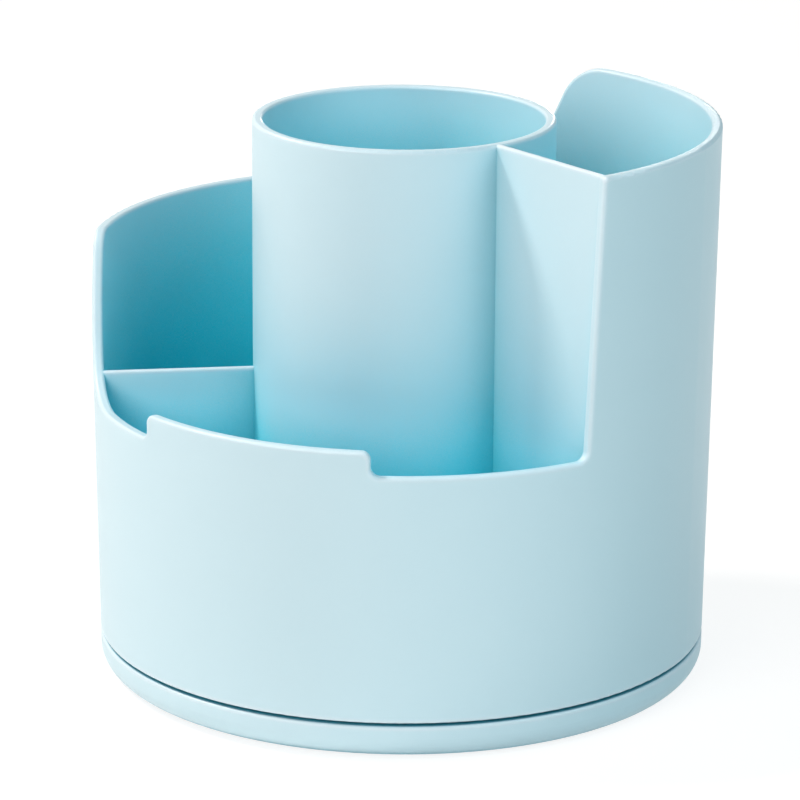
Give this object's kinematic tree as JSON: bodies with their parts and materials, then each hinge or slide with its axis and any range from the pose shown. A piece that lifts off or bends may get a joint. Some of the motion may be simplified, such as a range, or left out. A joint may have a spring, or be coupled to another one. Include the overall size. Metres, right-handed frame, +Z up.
{
  "type": "rotating pen holder",
  "caption": "Round desk pen holder with a centre tube and stepped compartments that turns freely on a ball ring above a low base dish.",
  "frame": {"origin": "on the table under the pivot axis, at the bottom of the foot pads", "axes": "+Z up along the pivot axis, -Y towards the low front compartment at rest"},
  "size_m": [0.1246, 0.124, 0.112],
  "materials": {
    "aqua_plastic": "fine satin moulding, pale aqua",
    "inner_plastic": "plain moulding, off-white",
    "bearing_plastic": "natural acetal, waxy",
    "ball_steel": "polished ball steel",
    "zinc_steel": "zinc plated",
    "foot_rubber": "matt non-slip rubber, grey"
  },
  "bodies": {
    "base": {"base_dish": "aqua_plastic", "pivot_bush": "bearing_plastic", "hub_cover": "aqua_plastic", "foot_pad_1": "foot_rubber", "foot_pad_2": "foot_rubber", "foot_pad_3": "foot_rubber", "foot_pad_4": "foot_rubber"},
    "rotor": {"pot_body": "aqua_plastic", "turntable_plate": "inner_plastic", "plate_screws": "zinc_steel", "retaining_washer": "zinc_steel", "pivot_screw": "zinc_steel"},
    "ball_ring": {"ball_cage": "bearing_plastic", "bearing_ball_01": "ball_steel", "bearing_ball_02": "ball_steel", "bearing_ball_03": "ball_steel", "bearing_ball_04": "ball_steel", "bearing_ball_05": "ball_steel", "bearing_ball_06": "ball_steel", "bearing_ball_07": "ball_steel", "bearing_ball_08": "ball_steel", "bearing_ball_09": "ball_steel", "bearing_ball_10": "ball_steel", "bearing_ball_11": "ball_steel", "bearing_ball_12": "ball_steel"}
  },
  "joints": [
    {"name": "pot_spin", "type": "hinge", "parent": "base", "child": "rotor", "pos_m": [0, 0, 0.006], "axis": [0, 0, 1], "continuous": true},
    {"name": "ball_ring_spin", "type": "hinge", "parent": "base", "child": "ball_ring", "pos_m": [0, 0, 0.006], "axis": [0, 0, 1], "continuous": true}
  ],
  "couplings": [
    {"joint": "ball_ring_spin", "follows": "pot_spin", "ratio": 0.5}
  ]
}
